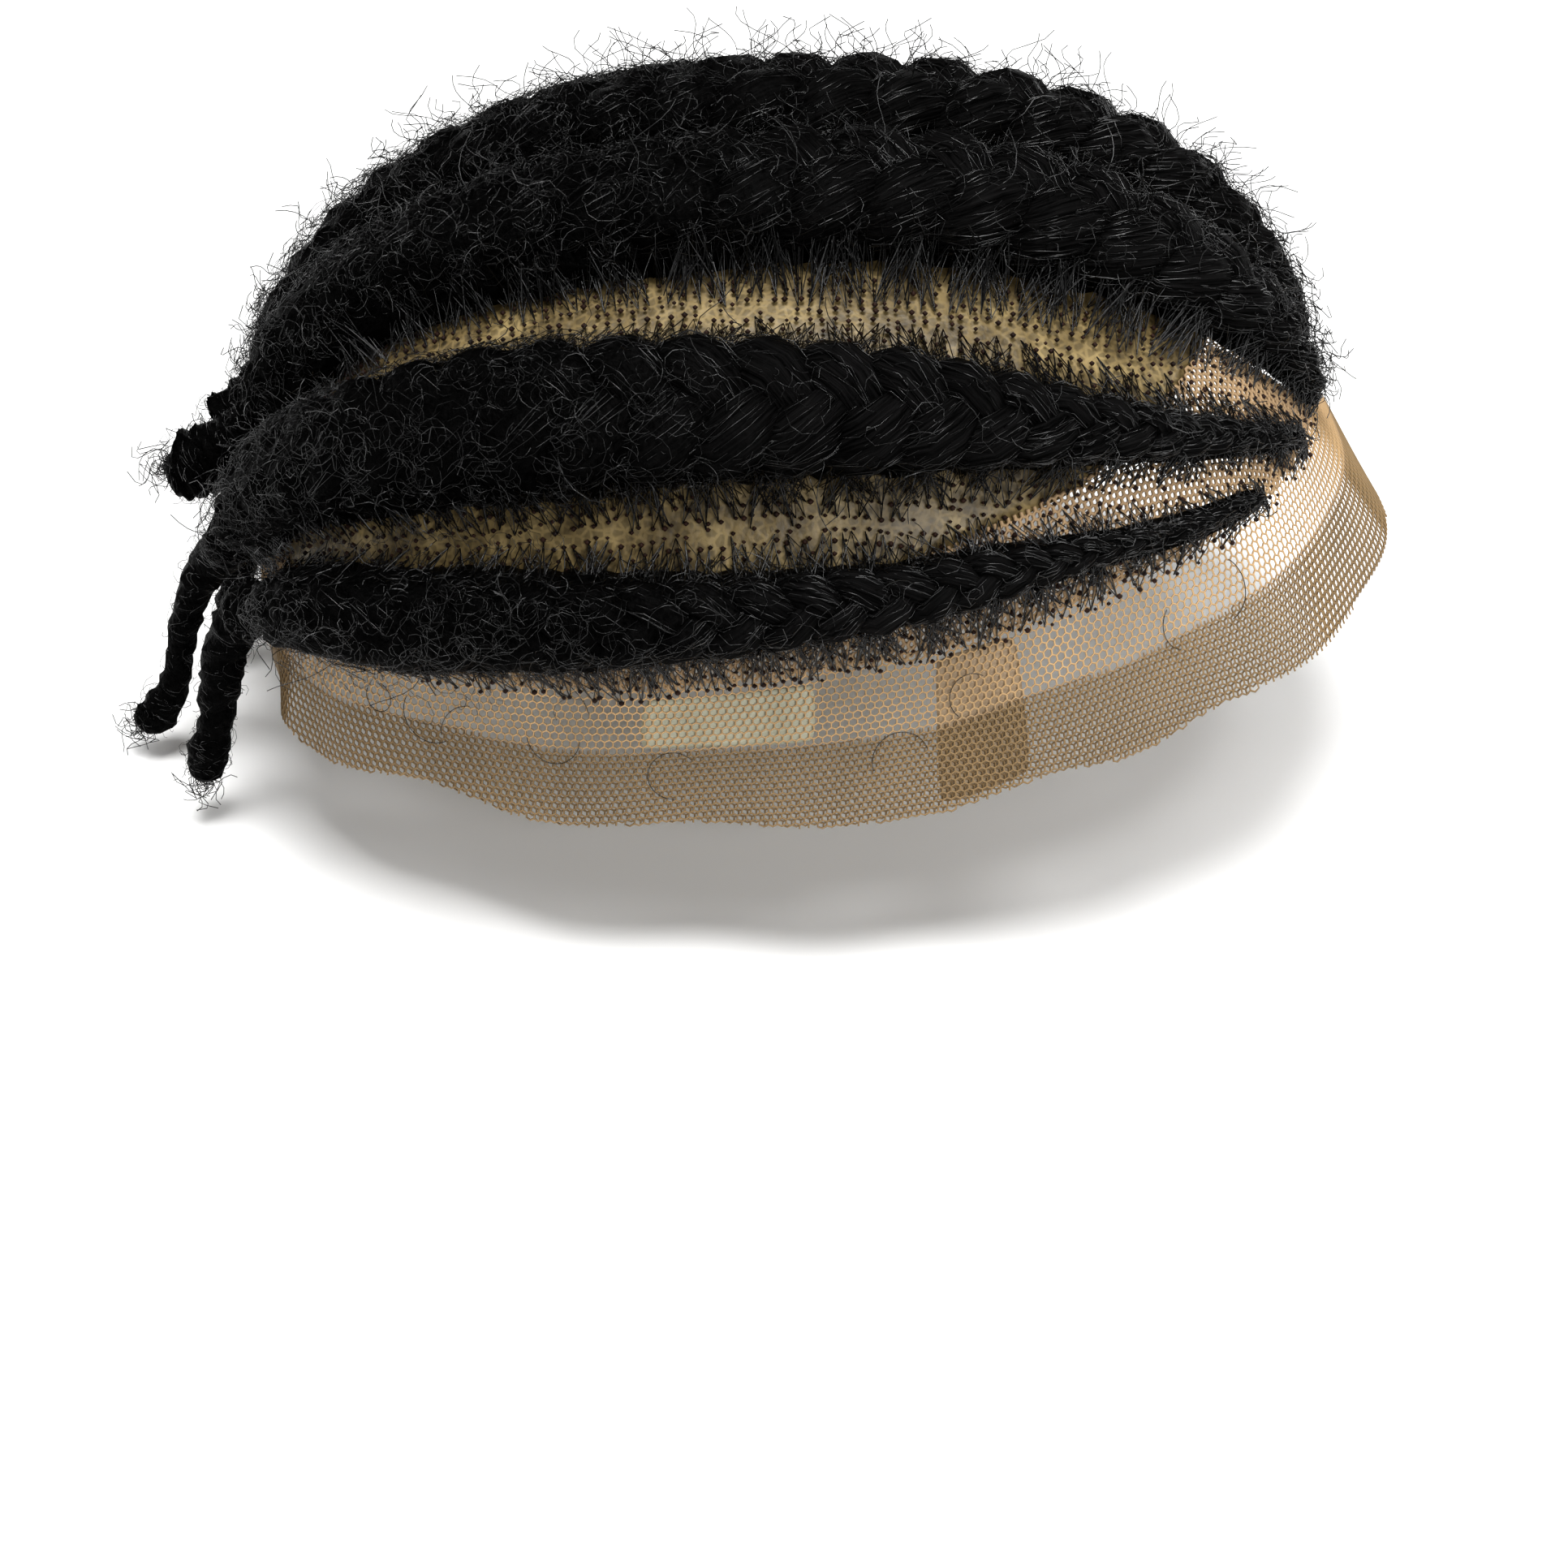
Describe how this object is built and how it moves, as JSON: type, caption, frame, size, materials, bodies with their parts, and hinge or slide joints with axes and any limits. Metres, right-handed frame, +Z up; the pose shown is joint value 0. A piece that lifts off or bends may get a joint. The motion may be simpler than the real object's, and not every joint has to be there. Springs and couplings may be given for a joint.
{
  "type": "cornrow hair system",
  "caption": "Men's hair system: plaited cornrows with free tails at the back on a sheer lace cap, with a golden film under the crown and a wavy lace border.",
  "frame": {"origin": "the top of the head, on the inside of the cap, where it sits on the wearer", "axes": "+Z up, front towards -Y, the wearer's right towards -X"},
  "size_m": [0.1601, 0.2262, 0.1172],
  "materials": {
    "lace": "sheer hexagonal net",
    "film": "thin, slightly glossy",
    "hair": "plaited kinky hair with soft highlights",
    "pale_tape": "matte tape",
    "brown_tape": "matte tape"
  },
  "bodies": {
    "root": {"lace_base": "lace", "crown_film": "film", "tape_tab_side": "pale_tape", "tape_tab_temple": "brown_tape", "cornrow_right_outer": "hair", "cornrow_right_middle": "hair", "cornrow_right_inner": "hair", "cornrow_left_outer": "hair", "cornrow_left_middle": "hair", "cornrow_left_inner": "hair", "braid_tail_right_outer": "hair", "braid_tail_right_middle": "hair", "braid_tail_right_inner": "hair", "braid_tail_left_outer": "hair", "braid_tail_left_middle": "hair", "braid_tail_left_inner": "hair"}
  },
  "joints": []
}
